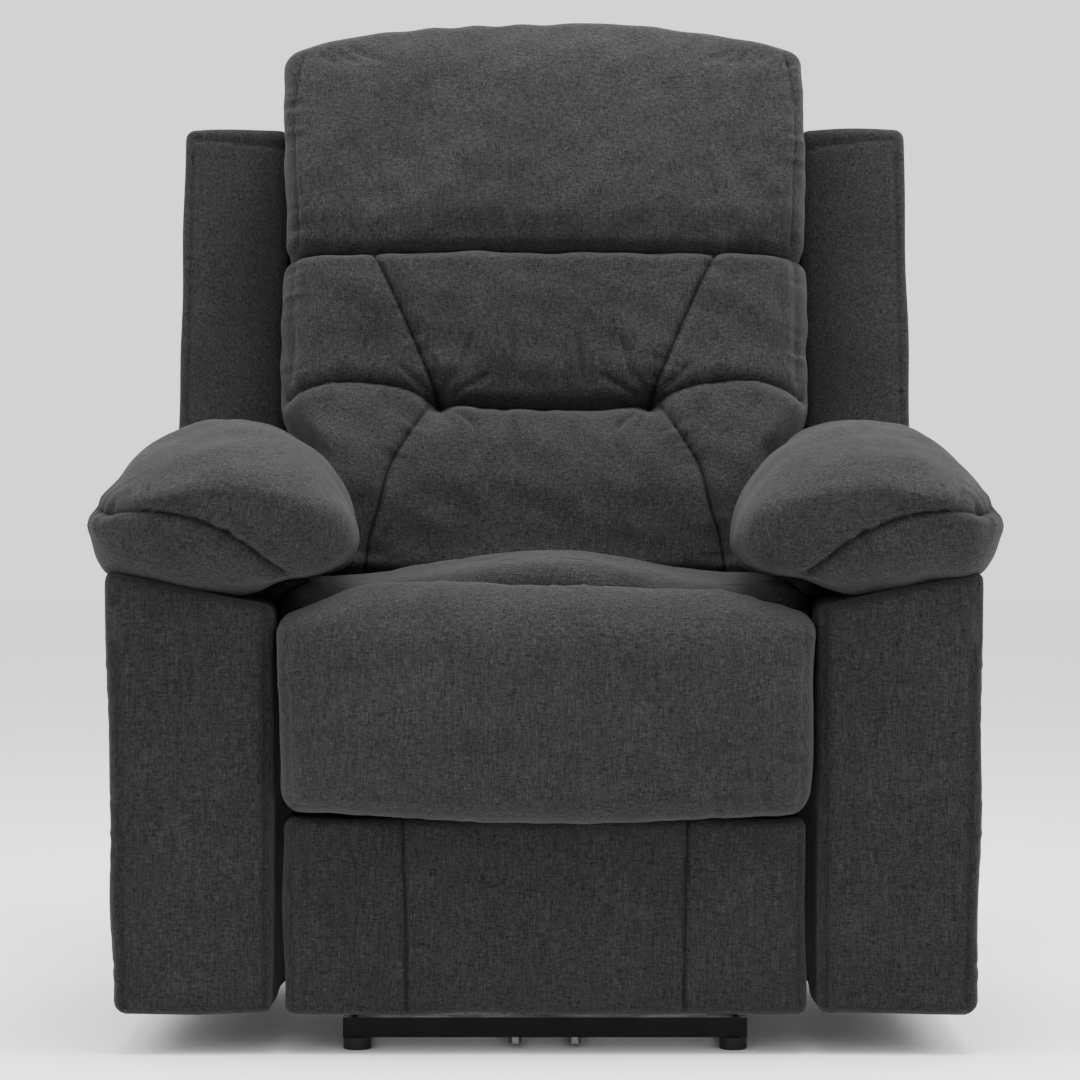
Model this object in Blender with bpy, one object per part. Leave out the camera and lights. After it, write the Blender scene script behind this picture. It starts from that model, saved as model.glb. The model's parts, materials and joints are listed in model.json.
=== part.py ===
"""Power lift recliner armchair, built from its separate pieces at rest.

Frame: +Z up, the chair faces -Y, the floor is z = 0 and the box around the whole chair is centred
on x = 0 and y = 0.  Side profiles are written as (u, z) pairs, u being the distance forward of the
chair's own datum.  Lengths are metres and angles are degrees.
"""
import bpy
import bmesh
import math
from mathutils import Vector

# Sizes that can be set by themselves
WIDTH = 0.900              # over the two arm pads
HEIGHT = 1.100             # floor to the crown of the headrest
SEAT_HEIGHT = 0.490        # floor to the crown of the seat cushion
ARM_RISE = 0.142           # top of the arm pads above the crown of the seat
ARM_CASE_WIDTH = 0.162
ARM_FRONT = 0.420          # u of the front faces of the arms
BACK_LEAN = 16.0           # backward lean of the back at rest
FLOOR_CLEARANCE = 0.041    # under the arms and the footrest
PAD_OVERHANG = 0.016       # arm pad beyond the outer face of its arm
BAR_SECTION = 0.020        # width of the square bars of the base
FOOT_HEIGHT = 0.0125
FOOT_RADIUS = 0.014
PLATE_THICKNESS = 0.005    # mechanism plates and links
LAYER_PITCH = 0.006        # from one mechanism plate to the next
TUBE_RADIUS = 0.0125       # cross tubes
ROD_RADIUS = 0.0095        # actuator rods
PIN_RADIUS = 0.005         # link pins

# Named clearances
GAP = 0.0003               # between pieces fixed to each other
PIN_CLEARANCE = 0.0005     # pin to hole, on the radius
SWING_CLEARANCE = 0.010    # moving upholstery to fixed upholstery

# Fits across the chair
ARM_OUTER = WIDTH / 2 - PAD_OVERHANG
ARM_INNER = ARM_OUTER - ARM_CASE_WIDTH
SEAT_HALF = ARM_INNER - 2 * GAP
FOOTREST_HALF = ARM_INNER - SWING_CLEARANCE
MECH_X = ARM_INNER - 0.082
WING_OUTER = ARM_OUTER - 0.009
BACK_CUSHION_HALF = ARM_INNER + 0.033
PAD_INNER = ARM_INNER - 0.087
TUBE_END = MECH_X + 2 * LAYER_PITCH - GAP

# Fits up the chair
ARM_HEIGHT = SEAT_HEIGHT + ARM_RISE
ARM_CASE_TOP = ARM_HEIGHT - 0.157
DECK_TOP = SEAT_HEIGHT - 0.090
DECK_THICKNESS = 0.0145
RAIL_TOP = DECK_TOP - DECK_THICKNESS - GAP
RAIL_BOTTOM = RAIL_TOP - 0.060
BAR_TOP = FOOT_HEIGHT + GAP + BAR_SECTION

# Joint centres, as (u, z)
HINGE = (-0.235, SEAT_HEIGHT - 0.160)
CRANK_AXIS = (ARM_FRONT - 0.130, SEAT_HEIGHT - 0.190)
FRONT_CROSS = (ARM_FRONT - 0.185, SEAT_HEIGHT - 0.275)
REAR_CROSS = (-0.150, SEAT_HEIGHT - 0.290)
LIFT_LUG_PIN = (ARM_FRONT - 0.200, SEAT_HEIGHT - 0.325)
LIFT_MOTOR_PIN = (-0.165, 0.065)
UPPER_LINK_FOOT = (ARM_FRONT - 0.090, 0.100)
UPPER_LINK_HEAD = (ARM_FRONT - 0.3952, 0.1541)
LOWER_LINK_FOOT = (ARM_FRONT - 0.090, 0.055)
LOWER_LINK_HEAD = (ARM_FRONT - 0.510, 0.0561)
FRONT_LINK_LENGTH = 0.165
FRONT_LINK_ANGLE = -85.0
OUTER_LINK_LENGTH = 0.112
OUTER_LINK_ANGLE = 77.0
CRANK_LENGTH = 0.060
CRANK_ANGLE = -135.0

# Widths of the mechanism pieces
LIFT_LINK_HALF = 0.011
FOOT_LINK_HALF = 0.012
CRANK_HALF = 0.017
RIVET_RADIUS = 0.008
RIVET_HEIGHT = 0.0006

# Actuators, along their own axis from the rear pin
MOTOR_LENGTH = 0.100
OUTER_TUBE_END = 0.275
ROD_START = 0.125
BORE_START = 0.110
BORE_RADIUS = ROD_RADIUS + 0.001
OUTER_TUBE_RADIUS = 0.017
TONGUE_HALF_WIDTH = 0.012
TONGUE_HALF_HEIGHT = 0.020
MOTOR_HALF_WIDTH = 0.022
MOTOR_HALF_HEIGHT = 0.024

# Back, measured in its own leaning frame from the hinge: y back, z up along the back
FRAME_BOTTOM = 0.030
FRAME_THICKNESS = 0.022
PANEL_THICKNESS = 0.0375
FRAME_HALF = ARM_INNER + 0.028
LUMBAR_BOTTOM = 0.130
LUMBAR_SHARE = 0.275       # share of the cushions' length taken by the lower cushion
HEADREST_SHARE = 0.448     # share of the cushions' length taken by the headrest
HEADREST_FRONT = 0.080     # depth at which the headrest crown sits in front of the frame

SIN_LEAN = math.sin(math.radians(BACK_LEAN))
COS_LEAN = math.cos(math.radians(BACK_LEAN))
HEADREST_TOP = (HEIGHT - HINGE[1] - HEADREST_FRONT * SIN_LEAN) / COS_LEAN
CUSHION_LENGTH = HEADREST_TOP - LUMBAR_BOTTOM
LUMBAR_TOP = LUMBAR_BOTTOM + LUMBAR_SHARE * CUSHION_LENGTH
HEADREST_BOTTOM = HEADREST_TOP - HEADREST_SHARE * CUSHION_LENGTH
PANEL_TOP = HEADREST_TOP - 0.110
FRAME_TOP = PANEL_TOP - 0.020
HEADREST_REAR = (0.045, HEADREST_TOP - 0.030)

# Front and rear of the whole chair about the datum, and the shift that centres it
PAD_FRONT = ARM_FRONT + 0.040
REAR_REACH = -HINGE[0] + HEADREST_REAR[0] * COS_LEAN + HEADREST_REAR[1] * SIN_LEAN
SHIFT = (PAD_FRONT - REAR_REACH) / 2

# Colour, roughness and metallic of each material
LOOKS = {
    "charcoal_weave": ((0.045, 0.047, 0.050), 0.95, 0.0),
    "charcoal_panel": ((0.036, 0.038, 0.041), 0.95, 0.0),
    "black_steel": ((0.012, 0.012, 0.013), 0.45, 0.6),
    "bright_steel": ((0.55, 0.55, 0.56), 0.30, 1.0),
    "black_plastic": ((0.015, 0.015, 0.016), 0.50, 0.0),
    "plywood": ((0.48, 0.33, 0.19), 0.70, 0.0),
    "covered_board": ((0.020, 0.020, 0.021), 0.95, 0.0),
    "zinc_plate": ((0.40, 0.40, 0.42), 0.40, 0.9),
}


def clear_scene():
    for obj in list(bpy.data.objects):
        bpy.data.objects.remove(obj)


def make_material(name, look):
    colour, roughness, metallic = LOOKS[look]
    material = bpy.data.materials.new(name + "_" + look)
    material.use_nodes = True
    shader = material.node_tree.nodes["Principled BSDF"]
    shader.inputs["Base Color"].default_value = (*colour, 1.0)
    shader.inputs["Roughness"].default_value = roughness
    shader.inputs["Metallic"].default_value = metallic
    return material


def world(x, u, z):
    """Chair coordinates: x across, u forward, z up."""
    return Vector((x, SHIFT - u, z))


def finish_mesh(name, bm, look, origin=None, lean=0.0):
    """Turn bm into a named object.  Without a lean its points are world points."""
    bmesh.ops.remove_doubles(bm, verts=bm.verts, dist=0.00001)
    bmesh.ops.recalc_face_normals(bm, faces=bm.faces)
    place = origin if origin is not None else Vector((0, 0, 0))
    if lean == 0.0:
        bmesh.ops.translate(bm, verts=bm.verts, vec=-place)
    mesh = bpy.data.meshes.new(name)
    bm.to_mesh(mesh)
    bm.free()
    obj = bpy.data.objects.new(name, mesh)
    bpy.context.collection.objects.link(obj)
    obj.location = place
    obj.rotation_euler = (math.radians(-lean), 0, 0)
    mesh.materials.append(make_material(name, look))
    return obj


def loft(name, rings, look, origin=None, lean=0.0):
    """Closed body through rings of equal point count, with flat ends."""
    bm = bmesh.new()
    loops = [[bm.verts.new(p) for p in ring] for ring in rings]
    count = len(loops[0])
    for first, second in zip(loops, loops[1:]):
        for i in range(count):
            j = (i + 1) % count
            bm.faces.new((first[i], first[j], second[j], second[i]))
    bm.faces.new(loops[0])
    bm.faces.new(list(reversed(loops[-1])))
    return finish_mesh(name, bm, look, origin, lean)


def block(name, xs, us, zs, look, origin=None):
    """Box between two x values, two u values and two z values."""
    corners = [(us[0], zs[0]), (us[1], zs[0]), (us[1], zs[1]), (us[0], zs[1])]
    rings = [[world(x, u, z) for u, z in corners] for x in xs]
    return loft(name, rings, look, origin)


def profile(name, xs, outline, look, origin=None):
    """Side profile of (u, z) points carried straight across the chair."""
    rings = [[world(x, u, z) for u, z in outline] for x in xs]
    return loft(name, rings, look, origin)


def crowned(name, half, outline, drop, floor_z, origin=None):
    """Cushion whose top falls by drop towards its sides, where the arm pads hang over it."""
    shoulder = half - PAD_INNER + 0.007
    stations = (
        (-half, drop), (-half + shoulder, drop), (-half + shoulder + 0.045, 0.0),
        (half - shoulder - 0.045, 0.0), (half - shoulder, drop), (half, drop),
    )
    rings = []
    for x, lower in stations:
        rings.append([world(x, u, z - lower if z > floor_z else z) for u, z in outline])
    return loft(name, rings, "charcoal_weave", origin)


def back_profile(name, xs, outline, look):
    """Side profile of (y, z) points in the leaning frame of the back."""
    rings = [[Vector((x, y, z)) for y, z in outline] for x in xs]
    return loft(name, rings, look, hinge_point(), BACK_LEAN)


def hinge_point():
    return world(0, *HINGE)


def circle(centre, radius, count=16):
    step = 2 * math.pi / count
    return [
        (centre[0] + radius * math.cos(i * step), centre[1] + radius * math.sin(i * step))
        for i in range(count)
    ]


def capsule(first, second, half, count=6):
    """Outline with round ends about two centres."""
    heading = math.atan2(second[1] - first[1], second[0] - first[0])
    outline = []
    for centre, start in ((first, heading + math.pi / 2), (second, heading - math.pi / 2)):
        for i in range(count + 1):
            angle = start + math.pi * i / count
            outline.append((centre[0] + half * math.cos(angle), centre[1] + half * math.sin(angle)))
    return outline


def polar(centre, length, angle):
    turn = math.radians(angle)
    return (centre[0] + length * math.cos(turn), centre[1] + length * math.sin(turn))


def add_loop(bm, points, x):
    verts = [bm.verts.new(world(x, u, z)) for u, z in points]
    edges = [bm.edges.new((v, verts[(i + 1) % len(verts)])) for i, v in enumerate(verts)]
    return verts, edges


def add_wall(bm, first, second):
    for i in range(len(first)):
        j = (i + 1) % len(first)
        bm.faces.new((first[i], first[j], second[j], second[i]))


def plate(name, side, layer_x, outline, look, holes=(), pins=(), origin=None, thickness=None):
    """Plate in the plane of the chair's side.

    layer_x is the face nearest the middle of the chair.  Each hole is (centre, radius); each pin is
    (centre, radius, x it reaches), and stands on whichever face is nearer that x.
    """
    near = layer_x
    far = layer_x + (PLATE_THICKNESS if thickness is None else thickness)
    bm = bmesh.new()
    faces = {}
    for x in (near, far):
        verts, edges = add_loop(bm, outline, side * x)
        faces[x] = {"outline": verts, "edges": list(edges), "holes": []}
        for centre, radius in holes:
            verts, edges = add_loop(bm, circle(centre, radius), side * x)
            faces[x]["holes"].append(verts)
            faces[x]["edges"] += edges
    add_wall(bm, faces[near]["outline"], faces[far]["outline"])
    for first, second in zip(faces[near]["holes"], faces[far]["holes"]):
        add_wall(bm, first, second)
    for centre, radius, reach in pins:
        base = near if reach < near else far
        foot, edges = add_loop(bm, circle(centre, radius), side * base)
        head, _ = add_loop(bm, circle(centre, radius), side * reach)
        faces[base]["edges"] += edges
        add_wall(bm, foot, head)
        bm.faces.new(head)
    for x in (near, far):
        bmesh.ops.triangle_fill(bm, use_beauty=True, edges=faces[x]["edges"])
    return finish_mesh(name, bm, look, origin)


def tube(name, x_range, centre, radius, wall, look, origin=None):
    """Open round tube across the chair."""
    bm = bmesh.new()
    outer = [add_loop(bm, circle(centre, radius), x)[0] for x in x_range]
    inner = [add_loop(bm, circle(centre, radius - wall), x)[0] for x in x_range]
    add_wall(bm, outer[0], outer[1])
    add_wall(bm, inner[0], inner[1])
    add_wall(bm, outer[0], inner[0])
    add_wall(bm, outer[1], inner[1])
    return finish_mesh(name, bm, look, origin)


def build_base():
    front_outer = ARM_FRONT - 0.045
    front_inner = front_outer - BAR_SECTION
    rear_outer = -0.210
    rear_inner = rear_outer + BAR_SECTION
    bar_z = (FOOT_HEIGHT + GAP, BAR_TOP)
    half = MECH_X + 0.014
    block("front_bar", (-half, half), (front_inner, front_outer), bar_z, "black_steel")
    block("rear_bar", (-half, half), (rear_outer, rear_inner), bar_z, "black_steel")
    rail_u = (rear_inner + GAP, front_inner - GAP)
    centre_rail_middle = 0.030
    centre_rail_half = 0.0085
    for side, word in ((1, "left"), (-1, "right")):
        xs = sorted((side * (MECH_X - GAP - BAR_SECTION), side * (MECH_X - GAP)))
        block("side_rail_" + word, xs, rail_u, bar_z, "black_steel")
        middle = side * centre_rail_middle
        xs = (middle - centre_rail_half, middle + centre_rail_half)
        block("centre_rail_" + word, xs, rail_u, bar_z, "black_steel")
        build_bolt("centre_bolt_" + word, middle, (front_inner + front_outer) / 2)
        for u, end in ((front_outer - BAR_SECTION / 2, "front"), (rear_inner - BAR_SECTION / 2, "rear")):
            build_foot("foot_%s_%s" % (end, word), side * (half - FOOT_RADIUS), u)
        build_riser(side, word)
    build_motor_bracket(rear_outer, rear_inner)


def build_bolt(name, x, u):
    head_radius = 0.0065
    head_bottom = FOOT_HEIGHT - 0.007
    rings = [
        [world(x + dx, u + du, z) for dx, du in circle((0, 0), head_radius, 6)]
        for z in (head_bottom, FOOT_HEIGHT)
    ]
    loft(name, rings, "bright_steel")


def build_foot(name, x, u):
    rings = [
        [world(x + dx, u + du, z) for dx, du in circle((0, 0), radius, 20)]
        for z, radius in ((0.0, FOOT_RADIUS - 0.001), (0.001, FOOT_RADIUS), (FOOT_HEIGHT, FOOT_RADIUS))
    ]
    loft(name, rings, "black_plastic")


def build_riser(side, word):
    """Upright plate on the side rail that carries both lift links."""
    foot_u, top_z = UPPER_LINK_FOOT
    half = 0.030
    bottom = FOOT_HEIGHT + GAP
    outline = [
        (foot_u - half, bottom), (foot_u + half - 0.006, bottom), (foot_u + half - 0.006, bottom + 0.03),
        (foot_u + 0.014, top_z + 0.010), (foot_u + 0.006, top_z + 0.016),
        (foot_u - 0.006, top_z + 0.016), (foot_u - 0.014, top_z + 0.010), (foot_u - half, bottom + 0.03),
    ]
    hole = PIN_RADIUS + PIN_CLEARANCE
    holes = [(UPPER_LINK_FOOT, hole), (LOWER_LINK_FOOT, hole)]
    plate("front_riser_" + word, side, MECH_X, outline, "black_steel", holes)


def build_motor_bracket(rear_outer, rear_inner):
    """Cheek on the rear bar with the pin the lift motor turns on."""
    u, z = LIFT_MOTOR_PIN
    bottom = BAR_TOP + GAP
    outline = [
        (rear_outer, bottom), (rear_inner + 0.002, bottom), (rear_inner + 0.004, bottom + 0.004),
        (u + 0.010, z - 0.018), (u + 0.018, z - 0.008), (u + 0.018, z + 0.008),
        (u + 0.008, z + 0.018), (u - 0.010, z + 0.018), (rear_outer, bottom + 0.014),
    ]
    cheek_x = TONGUE_HALF_WIDTH + 0.001
    pins = [(LIFT_MOTOR_PIN, TUBE_RADIUS, -cheek_x)]
    plate("lift_motor_bracket", 1, cheek_x, outline, "black_steel", (), pins)


def build_lift_links():
    """Upper and lower lift links; each turns on its pin in the riser."""
    for side, word in ((1, "left"), (-1, "right")):
        for name, foot, head in (
            ("upper_lift_link_", UPPER_LINK_FOOT, UPPER_LINK_HEAD),
            ("lower_lift_link_", LOWER_LINK_FOOT, LOWER_LINK_HEAD),
        ):
            layer = MECH_X + LAYER_PITCH
            pins = [
                (foot, PIN_RADIUS, MECH_X - 0.0001),
                (head, RIVET_RADIUS, layer - RIVET_HEIGHT),
                (foot, RIVET_RADIUS, layer + PLATE_THICKNESS + RIVET_HEIGHT),
            ]
            outline = capsule(foot, head, LIFT_LINK_HALF)
            origin = world(0, *foot)
            plate(name + word, side, layer, outline, "black_steel", (), pins, origin)


def section(point, across, half_x, half_n, square):
    """Ring of 16 points about an actuator's axis."""
    ring = []
    for i in range(16):
        angle = math.pi / 8 * (i + 0.5)
        a, b = math.cos(angle), math.sin(angle)
        if square:
            scale = 1 / max(abs(a), abs(b))
            a, b = a * scale, b * scale
        ring.append(point + Vector((a * half_x, 0, 0)) + across * (b * half_n))
    return ring


def build_actuator(prefix, rear, front):
    """Motor with its outer tube, and the rod that runs out of it."""
    start = world(0, *rear)
    heading = (world(0, *front) - start).normalized()
    across = heading.cross(Vector((1, 0, 0)))
    length = (world(0, *front) - start).length
    shape = [
        (-0.020, TONGUE_HALF_WIDTH, TONGUE_HALF_HEIGHT - 0.004, True),
        (-0.014, TONGUE_HALF_WIDTH, TONGUE_HALF_HEIGHT, True),
        (0.021, TONGUE_HALF_WIDTH, TONGUE_HALF_HEIGHT, True),
        (0.022, MOTOR_HALF_WIDTH, MOTOR_HALF_HEIGHT, True),
        (MOTOR_LENGTH, MOTOR_HALF_WIDTH, MOTOR_HALF_HEIGHT, True),
        (MOTOR_LENGTH + 0.002, OUTER_TUBE_RADIUS, OUTER_TUBE_RADIUS, False),
        (OUTER_TUBE_END, OUTER_TUBE_RADIUS, OUTER_TUBE_RADIUS, False),
        (OUTER_TUBE_END, BORE_RADIUS, BORE_RADIUS, False),
        (BORE_START, BORE_RADIUS, BORE_RADIUS, False),
    ]
    rings = [
        section(start + heading * s, across, half_x, half_n, square)
        for s, half_x, half_n, square in shape
    ]
    motor = loft(prefix + "_motor", rings, "black_plastic", start)
    drill_pin_hole(motor, start)
    eye = length + 0.010
    shape = [
        (ROD_START, ROD_RADIUS - 0.001), (ROD_START + 0.002, ROD_RADIUS),
        (eye - 0.003, ROD_RADIUS), (eye, ROD_RADIUS - 0.003),
    ]
    rings = [section(start + heading * s, across, r, r, False) for s, r in shape]
    loft(prefix + "_rod", rings, "bright_steel", start)


def drill_pin_hole(motor, centre):
    """Cross hole in the motor's rear tongue."""
    radius = TUBE_RADIUS + PIN_CLEARANCE
    reach = TONGUE_HALF_WIDTH + 0.004
    rings = [
        [centre + Vector((x, a, b)) for a, b in circle((0, 0), radius)]
        for x in (-reach, reach)
    ]
    cutter = loft(motor.name + "_cutter", rings, "black_plastic", centre)
    cutter.hide_render = True
    cutter.display_type = "WIRE"
    hole = motor.modifiers.new("pin_hole", "BOOLEAN")
    hole.operation = "DIFFERENCE"
    hole.solver = "EXACT"
    hole.object = cutter


def build_side_plates():
    """Plates that join the seat, the cross tubes, the lift links and the back hinge."""
    lug_u, lug_z = LOWER_LINK_HEAD
    up_u, up_z = UPPER_LINK_HEAD
    front_u, front_z = FRONT_CROSS
    axis_u, axis_z = CRANK_AXIS
    hinge_u, hinge_z = HINGE
    top = RAIL_TOP - 0.023
    outline = [
        (lug_u - 0.014, lug_z - 0.010), (lug_u + 0.014, lug_z - 0.010), (lug_u + 0.022, lug_z + 0.012),
        (up_u - 0.022, up_z - 0.022), (up_u + 0.016, up_z - 0.020), (up_u + 0.045, up_z + 0.004),
        (front_u - 0.030, front_z - 0.030), (front_u + 0.012, front_z - 0.026),
        (front_u + 0.028, front_z - 0.004), (axis_u + 0.024, axis_z - 0.014),
        (axis_u + 0.024, axis_z + 0.020), (axis_u + 0.008, top),
        (hinge_u + 0.055, top), (hinge_u + 0.010, hinge_z + 0.022), (hinge_u - 0.010, hinge_z + 0.021),
        (hinge_u - 0.023, hinge_z + 0.006), (hinge_u - 0.021, hinge_z - 0.014),
        (REAR_CROSS[0] - 0.045, REAR_CROSS[1] - 0.010), (lug_u - 0.045, lug_z + 0.060),
    ]
    hole = PIN_RADIUS + PIN_CLEARANCE
    for side, word in ((1, "left"), (-1, "right")):
        holes = [(CRANK_AXIS, hole), (HINGE, hole)]
        layer = MECH_X + 2 * LAYER_PITCH
        plate("side_plate_" + word, side, layer, outline, "black_steel", holes)


def build_seat():
    """Cross tubes, seat rails, deck and seat cushion."""
    ends = (-TUBE_END, TUBE_END)
    wall = 0.002
    tube("front_cross_tube", ends, FRONT_CROSS, TUBE_RADIUS, wall, "black_steel")
    tube("rear_cross_tube", ends, REAR_CROSS, TUBE_RADIUS, wall, "black_steel")
    lug_x = ROD_RADIUS + 0.001
    holes = [(FRONT_CROSS, TUBE_RADIUS + PIN_CLEARANCE)]
    outline = capsule(FRONT_CROSS, LIFT_LUG_PIN, CRANK_HALF)
    plate("lift_lug", 1, lug_x, outline, "black_steel", holes)
    rail_u = (-0.200, ARM_FRONT - 0.100)
    for side, word in ((1, "left"), (-1, "right")):
        xs = sorted((side * (TUBE_END - 0.030), side * TUBE_END))
        block("seat_rail_" + word, xs, rail_u, (RAIL_BOTTOM, RAIL_TOP), "plywood")
    deck_u = (-0.200, ARM_FRONT - 0.090)
    deck_z = (DECK_TOP - DECK_THICKNESS, DECK_TOP)
    block("seat_deck", (-SEAT_HALF, SEAT_HALF), deck_u, deck_z, "covered_board")
    front = ARM_FRONT - 0.085
    outline = [
        (-0.200, DECK_TOP + GAP), (front, DECK_TOP + GAP), (front, SEAT_HEIGHT - 0.025),
        (front - 0.030, SEAT_HEIGHT), (-0.105, SEAT_HEIGHT - 0.010), (-0.200, SEAT_HEIGHT - 0.045),
    ]
    crowned("seat_cushion", SEAT_HALF, outline, 0.022, DECK_TOP + 0.030)


def build_arms():
    for side, word in ((1, "left"), (-1, "right")):
        build_arm_case(side, word)
        build_arm_pad(side, word)


def build_arm_case(side, word):
    """Upholstered arm box: four sides and a top, open underneath."""
    rear = -0.165
    lean_start = SEAT_HEIGHT - 0.180
    slope = SIN_LEAN / COS_LEAN
    rear_top = rear - (ARM_CASE_TOP - lean_start) * slope
    outline = [
        (rear, FLOOR_CLEARANCE), (ARM_FRONT, FLOOR_CLEARANCE), (ARM_FRONT, ARM_CASE_TOP),
        (rear_top, ARM_CASE_TOP), (rear, lean_start),
    ]
    bm = bmesh.new()
    inner = [bm.verts.new(world(side * ARM_INNER, u, z)) for u, z in outline]
    outer = [bm.verts.new(world(side * ARM_OUTER, u, z)) for u, z in outline]
    bm.faces.new(inner)
    bm.faces.new(list(reversed(outer)))
    for i in range(1, len(outline)):
        j = (i + 1) % len(outline)
        bm.faces.new((inner[i], outer[i], outer[j], inner[j]))
    obj = finish_mesh("arm_case_" + word, bm, "charcoal_panel")
    shell = obj.modifiers.new("walls", "SOLIDIFY")
    shell.thickness = 0.018
    shell.offset = -1
    shell.use_even_offset = True


def inset(outline, distance):
    """Outline moved inwards by a distance, for a counter-clockwise outline."""
    moved = []
    count = len(outline)
    for i in range(count):
        before, here, after = (Vector(outline[(i + k) % count]) for k in (-1, 0, 1))
        first = (here - before).normalized()
        second = (after - here).normalized()
        normal_a = Vector((-first.y, first.x))
        normal_b = Vector((-second.y, second.x))
        mitre = (normal_a + normal_b).normalized()
        scale = distance / max(mitre.dot(normal_a), 0.3)
        moved.append(here + mitre * scale)
    return moved


def build_arm_pad(side, word):
    """Pillow on top of the arm, hanging over its inner and outer faces."""
    outer = WIDTH / 2
    front = ARM_FRONT + 0.030
    step = ARM_INNER + 0.003
    corner = 0.035
    outline = [
        (outer, front - corner), (outer - corner, front), (PAD_INNER + corner, front),
        (PAD_INNER, front - corner), (PAD_INNER, -0.110), (PAD_INNER + 0.025, -0.135), (step, -0.135),
        (step, -0.195), (outer - 0.020, -0.195), (outer, -0.175),
    ]
    height = ARM_HEIGHT - ARM_CASE_TOP
    levels = (
        (GAP, 0.022), (0.022, 0.005), (0.45 * height, 0.0),
        (height - 0.040, 0.006), (height - 0.012, 0.020), (height, 0.042),
    )
    plan = [(x, u) for x, u in outline]
    rings = []
    for rise, pull in levels:
        ring = inset(plan, pull)
        rings.append([world(side * p[0], p[1], ARM_CASE_TOP + rise) for p in ring])
    loft("arm_pad_" + word, rings, "charcoal_weave")


def build_controls():
    """Plate with two push buttons on the outer face of the sitter's right arm."""
    face = ARM_OUTER + GAP
    centre = (0.150, ARM_CASE_TOP - 0.080)
    half_u, half_z = 0.045, 0.025
    corner = 0.008
    outline = [
        (centre[0] - half_u + corner, centre[1] - half_z), (centre[0] + half_u - corner, centre[1] - half_z),
        (centre[0] + half_u, centre[1] - half_z + corner), (centre[0] + half_u, centre[1] + half_z - corner),
        (centre[0] + half_u - corner, centre[1] + half_z), (centre[0] - half_u + corner, centre[1] + half_z),
        (centre[0] - half_u, centre[1] + half_z - corner), (centre[0] - half_u, centre[1] - half_z + corner),
    ]
    spots = (("button_back", centre[0] - 0.020), ("button_forward", centre[0] + 0.020))
    button_radius = 0.011
    holes = [((u, centre[1]), button_radius + PIN_CLEARANCE) for _, u in spots]
    thickness = 0.008
    plate("control_plate", -1, face, outline, "black_plastic", holes, (), None, thickness)
    foot = face + 0.0035
    head = face + thickness + 0.003
    for name, u in spots:
        origin = world(-foot, u, centre[1])
        rings = [
            [world(-x, pu, pz) for pu, pz in circle((u, centre[1]), radius)]
            for x, radius in ((foot, button_radius), (head - 0.001, button_radius), (head, button_radius - 0.001))
        ]
        loft(name, rings, "zinc_plate", origin)


def build_back():
    """Plywood frame, outer panel, wings and the three cushion tiers of the back."""
    panel_front = FRAME_THICKNESS + GAP
    panel_rear = panel_front + PANEL_THICKNESS
    outline = [(0, FRAME_BOTTOM), (FRAME_THICKNESS, FRAME_BOTTOM), (FRAME_THICKNESS, FRAME_TOP), (0, FRAME_TOP)]
    back_profile("back_frame", (-FRAME_HALF, FRAME_HALF), outline, "covered_board")
    edge = 0.012
    outline = [
        (panel_front, FRAME_BOTTOM), (panel_rear - edge, FRAME_BOTTOM), (panel_rear, FRAME_BOTTOM + edge),
        (panel_rear, PANEL_TOP - edge), (panel_rear - edge, PANEL_TOP), (panel_front, PANEL_TOP),
    ]
    back_profile("back_panel", (-WING_OUTER, WING_OUTER), outline, "charcoal_panel")
    build_wings()
    build_back_cushions()
    build_back_brackets()


def build_wings():
    """Flat side wings, turned slightly in towards the sitter."""
    bottom = 0.150
    inner_x = BACK_CUSHION_HALF + 2 * GAP
    plan = [(inner_x, -0.012), (WING_OUTER, -0.055), (WING_OUTER, FRAME_THICKNESS), (inner_x, FRAME_THICKNESS)]
    for side, word in ((1, "left"), (-1, "right")):
        rings = [[Vector((side * x, y, z)) for x, y in plan] for z in (bottom, PANEL_TOP)]
        loft("wing_" + word, rings, "charcoal_panel", hinge_point(), BACK_LEAN)


def build_back_cushions():
    lower_half = ARM_INNER - SWING_CLEARANCE
    front = -0.130
    outline = [
        (front, LUMBAR_BOTTOM + 0.015), (front + 0.030, LUMBAR_BOTTOM), (-GAP, LUMBAR_BOTTOM),
        (-GAP, LUMBAR_TOP), (front + 0.015, LUMBAR_TOP), (front, LUMBAR_TOP - 0.020),
    ]
    back_profile("lower_back_cushion", (-lower_half, lower_half), outline, "charcoal_weave")
    bottom = LUMBAR_TOP + GAP
    top = HEADREST_BOTTOM - GAP
    front = -0.140
    outline = [
        (front, bottom + 0.020), (front + 0.020, bottom), (-GAP, bottom),
        (-GAP, top), (front + 0.020, top), (front, top - 0.020),
    ]
    back_profile("middle_back_cushion", (-BACK_CUSHION_HALF, BACK_CUSHION_HALF), outline, "charcoal_weave")
    front = -0.150
    step = PANEL_TOP + GAP
    outline = [
        (front, HEADREST_BOTTOM + 0.025), (front + 0.025, HEADREST_BOTTOM), (-GAP, HEADREST_BOTTOM),
        (-GAP, FRAME_TOP + GAP), (FRAME_THICKNESS, FRAME_TOP + GAP), (FRAME_THICKNESS, step),
        (HEADREST_REAR[0], step), HEADREST_REAR, (0.010, HEADREST_TOP),
        (-HEADREST_FRONT, HEADREST_TOP), (front + 0.008, HEADREST_TOP - 0.040),
    ]
    half = BACK_CUSHION_HALF - 0.008
    back_profile("headrest_cushion", (-half, half), outline, "charcoal_weave")


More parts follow.
